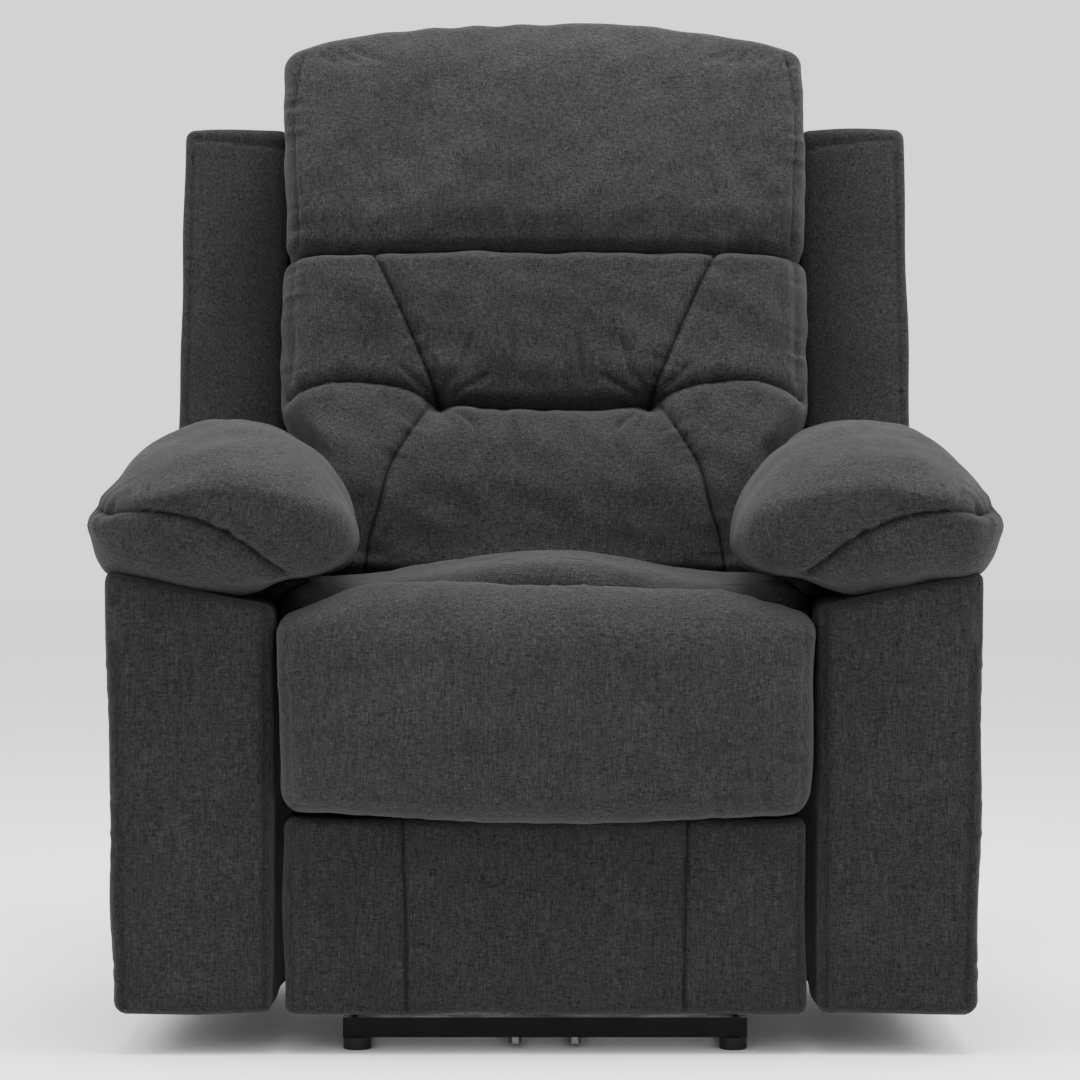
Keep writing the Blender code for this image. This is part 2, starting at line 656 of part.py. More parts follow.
def build_back_brackets():
    """Steel brackets from the hinge pins up the front of the back frame."""
    half = 0.020
    outline = [
        (-0.044, 0.060), (-half, 0.004), (-0.012, -0.016), (0.006, -0.019), (0.017, -0.009),
        (half, 0.006), (0.010, 0.020), (-0.0006, 0.028), (-0.0006, 0.125), (-0.044, 0.125),
    ]
    turned = []
    for y, z in outline:
        turned.append((HINGE[0] - y * COS_LEAN - z * SIN_LEAN, HINGE[1] - y * SIN_LEAN + z * COS_LEAN))
    for side, word in ((1, "left"), (-1, "right")):
        pins = [(HINGE, PIN_RADIUS, TUBE_END - 0.0001)]
        layer = MECH_X + 3 * LAYER_PITCH
        plate("back_bracket_" + word, side, layer, turned, "black_steel", (), pins, world(0, *HINGE))


def build_footrest():
    """Linkage, board and pads of the footrest, folded down against the front of the chair."""
    knee = polar(CRANK_AXIS, FRONT_LINK_LENGTH, FRONT_LINK_ANGLE)
    ankle = polar(knee, OUTER_LINK_LENGTH, OUTER_LINK_ANGLE)
    axis_origin = world(0, *CRANK_AXIS)
    hole = PIN_RADIUS + PIN_CLEARANCE
    third = MECH_X + 3 * LAYER_PITCH
    fourth = MECH_X + 4 * LAYER_PITCH
    board_rear = ankle[0] + 0.025
    for side, word in ((1, "left"), (-1, "right")):
        pins = [(CRANK_AXIS, PIN_RADIUS, TUBE_END + GAP)]
        outline = capsule(CRANK_AXIS, knee, FOOT_LINK_HALF)
        plate("front_link_" + word, side, third, outline, "zinc_plate", [(knee, hole)], pins, axis_origin)
        reach = third + 0.0001
        pins = [(knee, PIN_RADIUS, reach), (ankle, PIN_RADIUS, reach)]
        outline = capsule(knee, ankle, FOOT_LINK_HALF)
        plate("outer_link_" + word, side, fourth, outline, "zinc_plate", (), pins, world(0, *knee))
        outline = [
            (ankle[0] - 0.006, ankle[1] - 0.011), (board_rear - GAP, ankle[1] - 0.040),
            (board_rear - GAP, ankle[1] + 0.050), (ankle[0] - 0.006, ankle[1] + 0.012),
            (ankle[0] - 0.012, ankle[1] + 0.005), (ankle[0] - 0.012, ankle[1] - 0.004),
        ]
        name = "footrest_bracket_" + word
        plate(name, side, third, outline, "zinc_plate", [(ankle, hole)], (), world(0, *ankle))
    tube_radius = 0.011
    ends = (-TUBE_END, TUBE_END)
    tube("footrest_torque_tube", ends, CRANK_AXIS, tube_radius, 0.002, "zinc_plate", axis_origin)
    pin = polar(CRANK_AXIS, CRANK_LENGTH, CRANK_ANGLE)
    outline = capsule(CRANK_AXIS, pin, CRANK_HALF)
    holes = [(CRANK_AXIS, tube_radius + PIN_CLEARANCE)]
    plate("recline_crank", 1, ROD_RADIUS + 0.001, outline, "zinc_plate", holes, (), axis_origin)
    build_footrest_pads(board_rear, world(0, *ankle))


def build_footrest_pads(board_rear, origin):
    thickness = 0.015
    board_front = board_rear + thickness
    board_top = SEAT_HEIGHT - 0.095
    xs = (-FOOTREST_HALF + 0.007, FOOTREST_HALF - 0.007)
    zs = (FLOOR_CLEARANCE + 0.009, board_top)
    block("footrest_board", xs, (board_rear, board_front), zs, "covered_board", origin)
    face = board_front + GAP
    split = FLOOR_CLEARANCE + 0.197
    low_front = ARM_FRONT
    outline = [
        (face, FLOOR_CLEARANCE), (low_front - 0.012, FLOOR_CLEARANCE), (low_front, FLOOR_CLEARANCE + 0.012),
        (low_front, split - 0.012), (low_front - 0.012, split - GAP), (face, split - GAP),
    ]
    xs = (-FOOTREST_HALF, FOOTREST_HALF)
    profile("footrest_lower_pad", xs, outline, "charcoal_panel", origin)
    crown = SEAT_HEIGHT - 0.025
    rear = ARM_FRONT - 0.075
    lip = board_top + GAP
    shape = [
        (face, split), (face, lip), (rear, lip), (rear, crown - 0.020), (rear + 0.018, crown - 0.003),
        (PAD_FRONT - 0.060, crown), (PAD_FRONT - 0.025, crown - 0.018), (PAD_FRONT - 0.005, crown - 0.052),
        (PAD_FRONT, crown - 0.105), (PAD_FRONT - 0.010, split + 0.030), (PAD_FRONT - 0.025, split),
    ]
    crowned("footrest_upper_pad", FOOTREST_HALF, shape, 0.026, lip + 0.010, origin)


def main():
    clear_scene()
    build_base()
    build_lift_links()
    build_actuator("lift", LIFT_MOTOR_PIN, LIFT_LUG_PIN)
    build_side_plates()
    build_seat()
    build_arms()
    build_controls()
    build_back()
    build_footrest()
    build_actuator("recline", REAR_CROSS, polar(CRANK_AXIS, CRANK_LENGTH, CRANK_ANGLE))


main()
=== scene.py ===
import json
import math
import bpy
import numpy as np
from mathutils import Euler, Matrix, Vector


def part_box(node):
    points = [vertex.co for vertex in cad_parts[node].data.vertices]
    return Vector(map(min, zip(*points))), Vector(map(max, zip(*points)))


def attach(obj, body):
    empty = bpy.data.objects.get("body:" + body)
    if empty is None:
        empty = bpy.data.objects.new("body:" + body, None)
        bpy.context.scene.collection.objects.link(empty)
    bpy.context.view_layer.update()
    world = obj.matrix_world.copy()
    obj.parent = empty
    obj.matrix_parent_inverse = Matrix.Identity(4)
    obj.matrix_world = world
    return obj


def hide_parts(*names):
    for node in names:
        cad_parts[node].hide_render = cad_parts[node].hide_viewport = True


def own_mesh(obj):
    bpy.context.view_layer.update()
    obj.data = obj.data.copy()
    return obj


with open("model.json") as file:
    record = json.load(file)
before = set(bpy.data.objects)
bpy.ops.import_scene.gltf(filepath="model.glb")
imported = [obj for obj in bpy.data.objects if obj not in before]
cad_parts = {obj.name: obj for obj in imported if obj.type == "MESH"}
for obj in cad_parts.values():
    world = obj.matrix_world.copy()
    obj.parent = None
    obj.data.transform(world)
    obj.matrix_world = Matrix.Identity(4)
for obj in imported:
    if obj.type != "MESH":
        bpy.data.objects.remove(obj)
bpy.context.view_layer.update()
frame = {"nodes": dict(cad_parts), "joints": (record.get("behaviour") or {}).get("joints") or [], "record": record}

# Spacing of the soft meshes, in metres like every other length here
FINE = 0.0038
FINEST = 0.0032
COARSE = 0.006
SEAT_SPACING = 0.005

# A seam's line is the width of the painted shade along it. The mesh is drawn onto a seam line that is wider than
# SNAPPED_LINE; painted shade of NO_LINE is too thin to show
SNAPPED_LINE = 0.001
NO_LINE = 0.0001

# The back cushions' rear face, as a y in the leaning frame of the back
BEHIND = -0.001


def joint_point(name):
    return next(Vector(j["pos_m"]) for j in frame["joints"] if j["name"] == name)


def back_lean():
    """How far the back leans at rest, from the largest face of its panel."""
    face = max(frame["nodes"]["back_panel"].data.polygons, key=lambda polygon: polygon.area)
    return math.atan2(abs(face.normal.z), abs(face.normal.y))


LEAN = back_lean()
HINGE = joint_point("back_recline")
BACK = Matrix.Translation(Vector((0, HINGE.y, HINGE.z))) @ Matrix.Rotation(-LEAN, 4, "X")


# ---------------------------------------------------------------- shaping

def smooth(x, a, b):
    """0 before a and 1 after b, with an easy turn between them."""
    t = np.clip((x - a) / (b - a), 0, 1)
    return t * t * (3 - 2 * t)


def bell(x, width):
    """1 where x is 0, falling away over width on both sides."""
    return np.exp(-(x / width) ** 2)


def dome(x, half):
    """1 in the middle, falling to 0 at half on both sides."""
    return np.cos(np.clip(x / half, -1, 1) * math.pi / 2)


def arch(x, a, b):
    """0 at a and at b, and 1 half-way between them."""
    return np.sin(np.clip((x - a) / (b - a), 0, 1) * math.pi)


def lumps(co, size, seed, waves=9):
    """Soft random unevenness around 0, mostly between -1 and 1."""
    rng = np.random.default_rng(seed)
    total = np.zeros(len(co))
    for _ in range(waves):
        direction = rng.normal(size=3)
        direction /= np.linalg.norm(direction)
        k = 2 * math.pi / (size * rng.uniform(0.7, 1.5))
        total += np.sin(co @ direction * k + rng.uniform(0, 6.28))
    return total / math.sqrt(waves)


def curve(points, steps=14):
    """Smooth path through a few points."""
    p = np.array(points, float)
    ends = np.vstack([2 * p[0] - p[1], p, 2 * p[-1] - p[-2]])
    path = []
    for i in range(1, len(ends) - 2):
        for t in np.linspace(0, 1, steps, endpoint=False):
            a, b, c, d = ends[i - 1:i + 3]
            path.append(0.5 * (2 * b + (c - a) * t + (2 * a - 5 * b + 4 * c - d) * t ** 2
                               + (3 * b - a - 3 * c + d) * t ** 3))
    path.append(p[-1])
    return np.array(path)


def along(co, path):
    """From each point to a path: distance, step, how far along it the nearest place is, and its length."""
    path = np.array(path, float)
    best = np.full(len(co), 1e9)
    arc = np.zeros(len(co))
    step = np.zeros((len(co), 3))
    run = 0.0
    for a, b in zip(path, path[1:]):
        d = b - a
        length = np.linalg.norm(d)
        t = np.clip(((co - a) @ d) / length ** 2, 0, 1)
        away = a + t[:, None] * d - co
        gap = np.linalg.norm(away, axis=1)
        near = gap < best
        step[near] = away[near]
        best[near] = gap[near]
        arc[near] = run + t[near] * length
        run += length
    return best, step, arc, run


# ---------------------------------------------------------------- soft meshes

def cube_grid(counts):
    """Points on the surface of the cube from -1 to 1, and its quads, with counts cells along each axis."""
    index, points, quads = {}, [], []

    def point(key):
        if key not in index:
            index[key] = len(points)
            points.append([2 * k / n - 1 for k, n in zip(key, counts)])
        return index[key]

    for axis in range(3):
        a, b = (axis + 1) % 3, (axis + 2) % 3
        for end in (0, counts[axis]):
            for i in range(counts[a]):
                for j in range(counts[b]):
                    corners = []
                    for di, dj in ((0, 0), (1, 0), (1, 1), (0, 1)):
                        key = [0, 0, 0]
                        key[axis], key[a], key[b] = end, i + di, j + dj
                        corners.append(point(tuple(key)))
                    quads.append(corners if end else corners[::-1])
    return np.array(points), quads


def rounded(points, half, radius):
    """The unit cube's surface as a box with rounded edges; radius may differ along each axis."""
    half, radius = np.array(half, float), np.array(radius, float)
    q = points * half
    core = np.clip(q, -(half - radius), half - radius)
    d = (q - core) / radius
    length = np.linalg.norm(d, axis=1, keepdims=True)
    biggest = np.abs(d).max(axis=1, keepdims=True)
    d = d / np.maximum(length, 1e-9) * np.where(biggest > 1e-9, 1, 0)
    return core + d * radius


class Sculpt:
    """A dense soft surface that seams and creases are pressed into along its normals."""

    def __init__(self, name, co, quads, spacing, place=None):
        self.mesh = bpy.data.meshes.new(name)
        self.mesh.from_pydata(co.tolist(), [], quads)
        self.mesh.polygons.foreach_set("use_smooth", [True] * len(quads))
        self.obj = bpy.data.objects.new(name, self.mesh)
        bpy.context.scene.collection.objects.link(self.obj)
        self.co = co
        self.rest = co.copy()
        # Painted shade along the seams, from 0 to 1, that done() writes to the seam attribute
        self.seam = np.zeros(len(co))
        self.spacing = spacing
        self.place = place
        self.find_normals()

    def find_normals(self):
        self.mesh.vertices.foreach_set("co", self.co.astype(np.float32).ravel())
        self.mesh.update()
        normal = np.zeros(len(self.co) * 3, np.float32)
        self.mesh.vertex_normals.foreach_get("vector", normal)
        self.normal = normal.reshape(-1, 3).astype(float)

    def facing(self, axis, sign, low, high):
        """0 to 1, for how squarely the surface faces one way along an axis."""
        return smooth(sign * self.normal[:, axis], low, high)

    def push(self, amount):
        self.co = self.co + self.normal * np.asarray(amount)[:, None]

    def groove(self, path, depth, width, mask=1.0, flat=None, pucker=0.0, pitch=0.02, reach=0.02,
               seed=0, line=0.0022, fade=0.0, painted_shade=1.0):
        """Press a seam in, and paint shade along it into self.seam, as strong as painted_shade says.  flat leaves
        out one axis when measuring; pucker adds short folds across it.
        Where a line of painted shade is drawn, the nearest vertices are drawn onto it first so that it stays
        crisp."""
        co = self.rest.copy()
        path = np.array(path, float).copy()
        if flat is not None:
            co[:, flat] = 0
            path[:, flat] = 0
        gap, step, arc, run = along(co, path)
        hold = np.ones(len(co))
        if fade:
            hold = smooth(arc, 0, fade) * (1 - smooth(arc, run - fade, run))
        if line > SNAPPED_LINE:
            near = (gap < 0.55 * self.spacing) & (mask * hold > 0.4)
            self.rest[near] += step[near]
            self.co[near] += step[near]
            gap[near] = 0.0
        self.push(-depth * bell(gap, width) * mask * hold)
        if pucker:
            rng = np.random.default_rng(seed)
            wave = np.zeros(len(co))
            for f in (1.0, 1.7, 2.6):
                wave += np.sin(arc * 2 * math.pi / pitch * f + rng.uniform(0, 6.28)) / f
            vary = 0.5 + 0.5 * np.sin(arc * 2 * math.pi / (pitch * 6) + rng.uniform(0, 6.28))
            self.push(pucker * wave * vary * bell(gap, reach) * mask * hold)
        # Painted shade: a dark band along the seam, as wide as line
        self.seam = np.maximum(self.seam, painted_shade * bell(gap, line) * mask * hold)

    def fold(self, path, depth, width, mask=1.0, flat=None, fade=0.0):
        """A crease in the cloth, with no seam and no painted shade drawn in it."""
        self.groove(path, depth, width, mask, flat, line=NO_LINE, fade=fade)

    def done(self, material, body, nodes, fill, slot):
        """Write the shape and its painted seam shade to the mesh, hide the CAD nodes it stands in for, and hang it
        on its body.
        """
        if self.place is not None:
            m = np.array(self.place)
            self.co = self.co @ m[:3, :3].T + m[:3, 3]
        self.mesh.vertices.foreach_set("co", self.co.astype(np.float32).ravel())
        # The seam attribute holds the painted shade that the cloth shader darkens the seams with
        attribute = self.mesh.attributes.new("seam", "FLOAT", "POINT")
        attribute.data.foreach_set("value", np.clip(self.seam, 0, 1).astype(np.float32))
        self.mesh.update()
        self.mesh.materials.append(material)
        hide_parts(*nodes)
        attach(self.obj, body)
        return self.obj


def soft_box(name, lo, hi, radius, spacing=FINE, place=None, warp=None):
    """A rounded box, bent by warp, that place then moves to where it belongs."""
    lo, hi = np.array(lo, float), np.array(hi, float)
    half = (hi - lo) / 2
    counts = [max(4, int(round(2 * h / spacing))) for h in half]
    points, quads = cube_grid(counts)
    co = rounded(points, half, radius) + (lo + hi) / 2
    if warp is not None:
        co = warp(co)
    return Sculpt(name, co, quads, spacing, place)


def soft_roll(name, middle, section, along_y, shape, spacing=FINE, warp=None):
    """A padded roll along Y.  section is its outline in x and z, and shape the rounding of its ends, across
    and along."""
    outline = curve(list(section) + [section[0]], 24)
    turn = np.arctan2(outline[:, 1] - middle[1], outline[:, 0] - middle[0])
    reach = np.hypot(outline[:, 0] - middle[0], outline[:, 1] - middle[1])
    order = np.argsort(turn)
    size = float(reach.mean())
    length = (along_y[1] - along_y[0]) / 2
    across = int(round(2 * math.pi * size / 4 / spacing))
    points, quads = cube_grid((across, int(round(2 * length / spacing)), across))
    out = np.maximum(np.abs(points[:, 0]), np.abs(points[:, 2]))
    q = rounded(np.stack([out, points[:, 1]], 1), (size, length), shape)
    angle = np.arctan2(points[:, 2], points[:, 0])
    r = np.interp(angle, turn[order], reach[order], period=2 * math.pi) * q[:, 0] / size
    co = np.stack([middle[0] + r * np.cos(angle), q[:, 1] + sum(along_y) / 2,
                   middle[1] + r * np.sin(angle)], 1)
    if warp is not None:
        co = warp(co)
    return Sculpt(name, co, quads, spacing)


# ---------------------------------------------------------------- materials

class Nodes:
    """Short way to lay out a shader.  A value is a constant or another node's output."""

    def __init__(self, name):
        self.material = bpy.data.materials.new(name)
        self.material.use_nodes = True
        self.tree = self.material.node_tree
        self.shader = self.tree.nodes["Principled BSDF"]

    def add(self, kind, values=None, **settings):
        node = self.tree.nodes.new(kind)
        for key, value in settings.items():
            setattr(node, key, value)
        for key, value in (values or {}).items():
            self.feed(node.inputs[key], value)
        return node

    def feed(self, socket, value):
        if isinstance(value, bpy.types.NodeSocket):
            self.tree.links.new(value, socket)
        else:
            socket.default_value = value

    def noise(self, scale, detail=2.0, stretch=(1, 1, 1), rough=0.5):
        coord = self.add("ShaderNodeTexCoord")
        mapping = self.add("ShaderNodeMapping", {"Vector": coord.outputs["Object"], "Scale": stretch})
        noise = self.add("ShaderNodeTexNoise", {"Vector": mapping.outputs["Vector"], "Scale": scale,
                                                "Detail": detail, "Roughness": rough})
        return noise.outputs["Fac"]

    def maths(self, operation, a, b):
        node = self.add("ShaderNodeMath", operation=operation)
        for socket, value in zip(node.inputs, (a, b)):
            self.feed(socket, value)
        return node.outputs["Value"]

    def times(self, first, *others):
        for other in others:
            first = self.maths("MULTIPLY", first, other)
        return first

    def spread(self, value, low, high, to_low, to_high):
        node = self.add("ShaderNodeMapRange", {"Value": value, "From Min": low, "From Max": high,
                                               "To Min": to_low, "To Max": to_high})
        return node.outputs["Result"]

    def mix(self, factor, first, second, blend_type="MIX"):
        node = self.add("ShaderNodeMix", data_type="RGBA", blend_type=blend_type)
        colours = [socket for socket in node.inputs if socket.type == "RGBA"]
        for socket, value in zip((node.inputs["Factor"], *colours), (factor, first, second)):
            self.feed(socket, value)
        return next(socket for socket in node.outputs if socket.type == "RGBA")

    def bump(self, height, strength, distance):
        node = self.add("ShaderNodeBump", {"Height": height, "Strength": strength, "Distance": distance})
        return node.outputs["Normal"]

    def finish(self, values):
        for key, value in values.items():
            self.feed(self.shader.inputs[key], value)
        return self.material


def cloth(name, colour, sheen):
    """Coarse chenille-like weave: short slubs along each axis, soft mottling, and painted shade darkening the
    seams.
    """
    n = Nodes(name)
    along_thread, across_thread = 140, 620
    slubs = []
    for axis in range(3):
        stretch = [across_thread] * 3
        stretch[axis] = along_thread
        slubs.append(n.noise(1.0, 4.0, stretch, 0.75))
    weave = n.maths("ADD", n.maths("ADD", slubs[0], slubs[1]), slubs[2])
    weave = n.spread(weave, 1.22, 1.78, 0.0, 1.0)
    brushed = n.spread(n.noise(9.0, 3.0), 0.3, 0.7, 0.90, 1.10)
    worn = n.spread(n.noise(34.0, 2.0), 0.3, 0.7, 0.95, 1.05)
    rib = n.spread(n.noise(1.0, 2.0, (560, 560, 36)), 0.35, 0.65, 0.84, 1.16)
    seam = n.add("ShaderNodeAttribute", attribute_name="seam")
    # Painted shade: the colour is darkened along the seam creases, as the seam attribute says
    seam_shade = n.spread(seam.outputs["Fac"], 0.0, 1.0, 1.0, 0.22)
    tone = n.times(n.spread(weave, 0.0, 1.0, 0.30, 1.75), n.times(brushed, rib), worn, seam_shade)
    return n.finish({
        "Base Color": n.mix(1.0, (*colour, 1), tone, "MULTIPLY"),
        "Normal": n.bump(weave, 0.55, 0.0009),
        "Roughness": 0.93,
        "Specular IOR Level": 0.08,
        "Sheen Weight": sheen,
        "Sheen Roughness": 0.45,
        "Sheen Tint": (0.9, 0.9, 0.91, 1),
    })


def metal(name, colour, rough, metallic):
    """Coated or bare steel, or plastic: cloudy in tone and roughness, with a fine bump."""
    n = Nodes(name)
    cloudy = n.noise(40.0, 4.0)
    darker = (*[c * 0.8 for c in colour], 1)
    lighter = (*[min(1, c * 1.2) for c in colour], 1)
    return n.finish({
        "Base Color": n.mix(cloudy, darker, lighter),
        "Roughness": n.spread(cloudy, 0.3, 0.7, rough - 0.07, rough + 0.09),
        "Metallic": metallic,
        "Specular IOR Level": 0.5 if metallic > 0.5 else 0.08,
        "Normal": n.bump(n.noise(700.0, 2.0), 0.12, 0.0003),
    })


def timber(name):
    n = Nodes(name)
    grain = n.noise(1.0, 5.0, (6, 160, 160), 0.65)
    figure = n.spread(n.maths("ADD", grain, n.noise(3.0, 2.0)), 0.7, 1.3, 0.0, 1.0)
    return n.finish({
        "Base Color": n.mix(figure, (0.33, 0.20, 0.10, 1), (0.62, 0.45, 0.27, 1)),
        "Roughness": 0.65,
        "Normal": n.bump(grain, 0.2, 0.0004),
    })


def plain(name, colour, rough):
    """The studio floor: one pale tone, faintly clouded."""
    n = Nodes(name)
    darker = (*[c * 0.985 for c in colour], 1)
    return n.finish({"Base Color": n.mix(n.noise(2.0, 2.0), darker, (*colour, 1)), "Roughness": rough})


WEAVE = cloth("weave_light", (0.0185, 0.0185, 0.0187), 0.08)
PANEL = cloth("weave_panel", (0.0155, 0.0155, 0.0157), 0.06)
FINISHES = {
    "black_steel": metal("steel_black", (0.004, 0.004, 0.0043), 0.50, 0.0),
    "bright_steel": metal("steel_bright", (0.14, 0.14, 0.145), 0.42, 1.0),
    "zinc_plate": metal("steel_zinc", (0.13, 0.13, 0.135), 0.50, 1.0),
    "black_plastic": metal("plastic_black", (0.016, 0.016, 0.017), 0.50, 0.0),
    "plywood": timber("plywood_raw"),
    # The covered board's cloth is made near black as painted shade for the dark gaps it shows through
    "covered_board": cloth("board_cover_painted_shade", (0.006, 0.006, 0.006), 0.02),
}


def dress_frame():
    """Better materials for the CAD nodes that still show."""
    slots = {s["node"]: s["material_slot"] for s in frame["record"]["subparts"]}
    for name, obj in frame["nodes"].items():
        finish = FINISHES.get(slots.get(name))
        if finish is not None:
            obj.data.materials.clear()
            obj.data.materials.append(finish)


# ---------------------------------------------------------------- back

def local_box(node):
    """A back node's box in the leaning frame of the back."""
    inverse = BACK.inverted()
    points = np.array([inverse @ v.co for v in frame["nodes"][node].data.vertices])
    return points.min(0), points.max(0)


def front_mask(skin):
    return skin.facing(1, -1, 0.0, 0.5)


def make_headrest():
    """Headrest: a domed top, a front rolled back at the top, and pleats at both top corners."""
    lo, hi = local_box("headrest_cushion")
    half = hi[0] + 0.008
    lo = (-half, lo[1] + 0.004, lo[2] - 0.003)
    top = hi[2]
    hi = (half, hi[1] - 0.004, top)
    mid = (lo[2] + hi[2]) / 2

    def warp(co):
        x, y, z = co.T.copy()
        side = np.abs(x) / half
        # The top falls towards the sides, and most at the corners
        z = z - smooth(z, mid, top) * (0.003 + 0.034 * side ** 2 + 0.014 * side ** 6)
        low = 1 - smooth(z, lo[2], lo[2] + 0.16)
        y = np.where(z < top - 0.135, np.minimum(y, BEHIND), y)
        x = x * (1 - 0.012 * smooth(z, top - 0.09, top) - 0.020 * low)
        # The front is tucked in at the hem, bows out in the middle and rolls back at the top
        y = y + 0.010 * (1 - smooth(z, lo[2], lo[2] + 0.05)) * smooth(-y, 0.06, 0.14)
        y = y - 0.012 * dome(x, half) * smooth(-y, 0.06, 0.14)
        y = y + 0.030 * smooth(z, top - 0.11, top + 0.02) ** 2 * smooth(-y, 0.04, 0.15)
        y = y - 0.012 * smooth(-y, 0.04, 0.15) * np.sin(np.clip((z - lo[2]) / (top - lo[2]), 0, 1) * 2.6)
        return np.stack([x, y, z], 1)

    skin = soft_box("headrest", lo, hi, (0.020, 0.030, 0.015), place=BACK, warp=warp)
    mask = front_mask(skin)
    skin.push(0.0022 * lumps(skin.rest, 0.16, 3) + 0.0008 * lumps(skin.rest, 0.045, 4))
    square_on = skin.facing(1, -1, 0.5, 0.85)
    for sign in (-1, 1):
        edge = curve([(sign * (half - 0.019), 0, lo[2] + 0.01), (sign * (half - 0.013), 0, mid),
                      (sign * (half - 0.018), 0, top - 0.085), (sign * (half - 0.024), 0, top - 0.058)])
        skin.groove(edge, 0.0034, 0.005, mask, flat=1, pucker=0.0012, pitch=0.021, reach=0.014,
                    seed=5 + sign, line=0.0016, painted_shade=0.6)
        for shift in (0.0, 0.016, 0.034):
            pleat = curve([(sign * (half - 0.035 - shift), -0.13, top - 0.052 + 0.2 * shift),
                           (sign * (half - 0.075 - 1.5 * shift), -0.13, top - 0.075 + 0.1 * shift)])
            skin.fold(pleat, 0.0034, 0.0052, square_on, flat=1, fade=0.02)
    roll = curve([(-half + 0.02, -0.09, top - 0.030), (0, -0.09, top - 0.004),
                  (half - 0.02, -0.09, top - 0.030)])
    skin.groove(roll, 0.0022, 0.006, pucker=0.0006, pitch=0.03, reach=0.012, seed=9, line=0.0012)
    hem = curve([(-half, -0.12, lo[2] + 0.006), (0, -0.13, lo[2] + 0.001), (half, -0.12, lo[2] + 0.006)])
    skin.groove(hem, 0.001, 0.006, mask, flat=1, pucker=0.0012, pitch=0.034, reach=0.03, seed=8,
                line=NO_LINE)
    return skin.done(WEAVE, "back", ["headrest_cushion"], 0.8, "charcoal_weave")


def make_back_cushion():
    """Middle and lower tiers: one cover with tufted V seams, a waist crease and two side lobes."""
    low_lo, low_hi = local_box("lower_back_cushion")
    mid_lo, mid_hi = local_box("middle_back_cushion")
    half, slim = mid_hi[0], low_hi[0]
    waist = mid_lo[2]
    bottom, top = low_lo[2], mid_hi[2]
    front = mid_lo[1]
    # The seams' places across are given for a cushion 0.61 m wide, and follow the real width from there
    wide = half / 0.305
    tuft = 0.120 * wide

    def warp(co):
        x, y, z = co.T.copy()
        narrow = 1 - smooth(z, waist - 0.075, waist + 0.005)
        x = x * (1 - narrow * (1 - slim / half))
        depth = smooth(-y, 0.03, 0.13)
        # The front sinks in at the waist, and swells below it, above it and in the side lobes
        hollow = 0.010 * bell(z - waist, 0.030) * (1 - smooth(np.abs(x), 0.12, 0.17))
        belly = 0.014 * bell(z - (waist - 0.085), 0.06)
        chest = 0.008 * bell(z - (waist + 0.09), 0.06)
        lobe = 0.008 * smooth(np.abs(x), 0.16, 0.21) * bell(z - (waist - 0.055), 0.06)
        chest = chest + 0.012 * smooth(z, waist + 0.07, top - 0.01)
        # Its sides curl back, and its lower edge hangs towards the seat
        curl = 0.020 * smooth(np.abs(x) / half, 0.80, 1.0)
        z = z - 0.034 * smooth(-y, 0.04, 0.13) * (1 - smooth(z, bottom, bottom + 0.12))
        y = y + depth * (hollow - belly - chest - lobe + curl)
        return np.stack([x, y, z], 1)

    skin = soft_box("back_cushion", (-half, front + 0.006, bottom), (half, BEHIND, top + 0.002),
                    (0.028, 0.042, 0.018), FINEST, place=BACK, warp=warp)
    mask = front_mask(skin)
    skin.push(0.0022 * lumps(skin.rest, 0.13, 11) + 0.0010 * lumps(skin.rest, 0.05, 12))
    crease = curve([(-tuft, 0, waist + 0.001), (-0.05, 0, waist - 0.003), (0.05, 0, waist - 0.003),
                    (tuft, 0, waist + 0.001)])
    skin.groove(crease, 0.010, 0.009, mask, flat=1, pucker=0.0018, pitch=0.062, reach=0.045, seed=21)
    skin.fold(crease, 0.008, 0.0030, mask, flat=1)
    for sign in (-1, 1):
        press_side_seams(skin, mask, sign, wide, tuft, half, (bottom, waist, top))
        press_tuft(skin, mask, sign, tuft, waist)
        edge = curve([(sign * (half - 0.014), 0, top - 0.012), (sign * (half - 0.012), 0, waist + 0.03)])
        skin.groove(edge, 0.003, 0.005, mask, flat=1, pucker=0.0010, pitch=0.02, reach=0.014,
                    seed=61 + sign, line=0.0016, painted_shade=0.5)
    press_waist_folds(skin, mask, waist)
    return skin.done(WEAVE, "back", ["middle_back_cushion", "lower_back_cushion"], 0.7, "charcoal_weave")


def press_side_seams(skin, mask, sign, wide, tuft, half, heights):
    """One side's seams, all from its tuft: the V upwards, the lobe's arc outwards and the drop downwards."""
    bottom, waist, top = heights
    vee = curve([(sign * 0.1965 * wide, 0, top - 0.004), (sign * 0.158 * wide, 0, (top + waist) / 2),
                 (sign * tuft, 0, waist)])
    skin.groove(vee, 0.0030, 0.010, mask, flat=1, pucker=0.0008, pitch=0.030, reach=0.018, seed=31 + sign)
    skin.groove(vee, 0.0036, 0.0022, mask, flat=1, line=0.0016)
    arc = curve([(sign * (half - 0.004), 0, waist + 0.010), (sign * 0.262 * wide, 0, waist + 0.020),
                 (sign * 0.219 * wide, 0, waist + 0.023), (sign * 0.165 * wide, 0, waist + 0.016),
                 (sign * tuft, 0, waist)])
    skin.groove(arc, 0.0050, 0.010, mask, flat=1, pucker=0.0012, pitch=0.036, reach=0.022, seed=41 + sign)
    skin.groove(arc, 0.0040, 0.0024, mask, flat=1, line=0.0018)
    drop = curve([(sign * (tuft + 0.012), 0, waist - 0.002), (sign * 0.1715 * wide, 0, waist - 0.072),
                  (sign * 0.190 * wide, 0, waist - 0.137), (sign * 0.199 * wide, 0, bottom + 0.012),
                  (sign * 0.204 * wide, 0, bottom - 0.024)])
    skin.groove(drop, 0.0035, 0.010, mask, flat=1, pucker=0.0009, pitch=0.028, reach=0.018, seed=51 + sign)
    skin.groove(drop, 0.0036, 0.0022, mask, flat=1, line=0.0016)


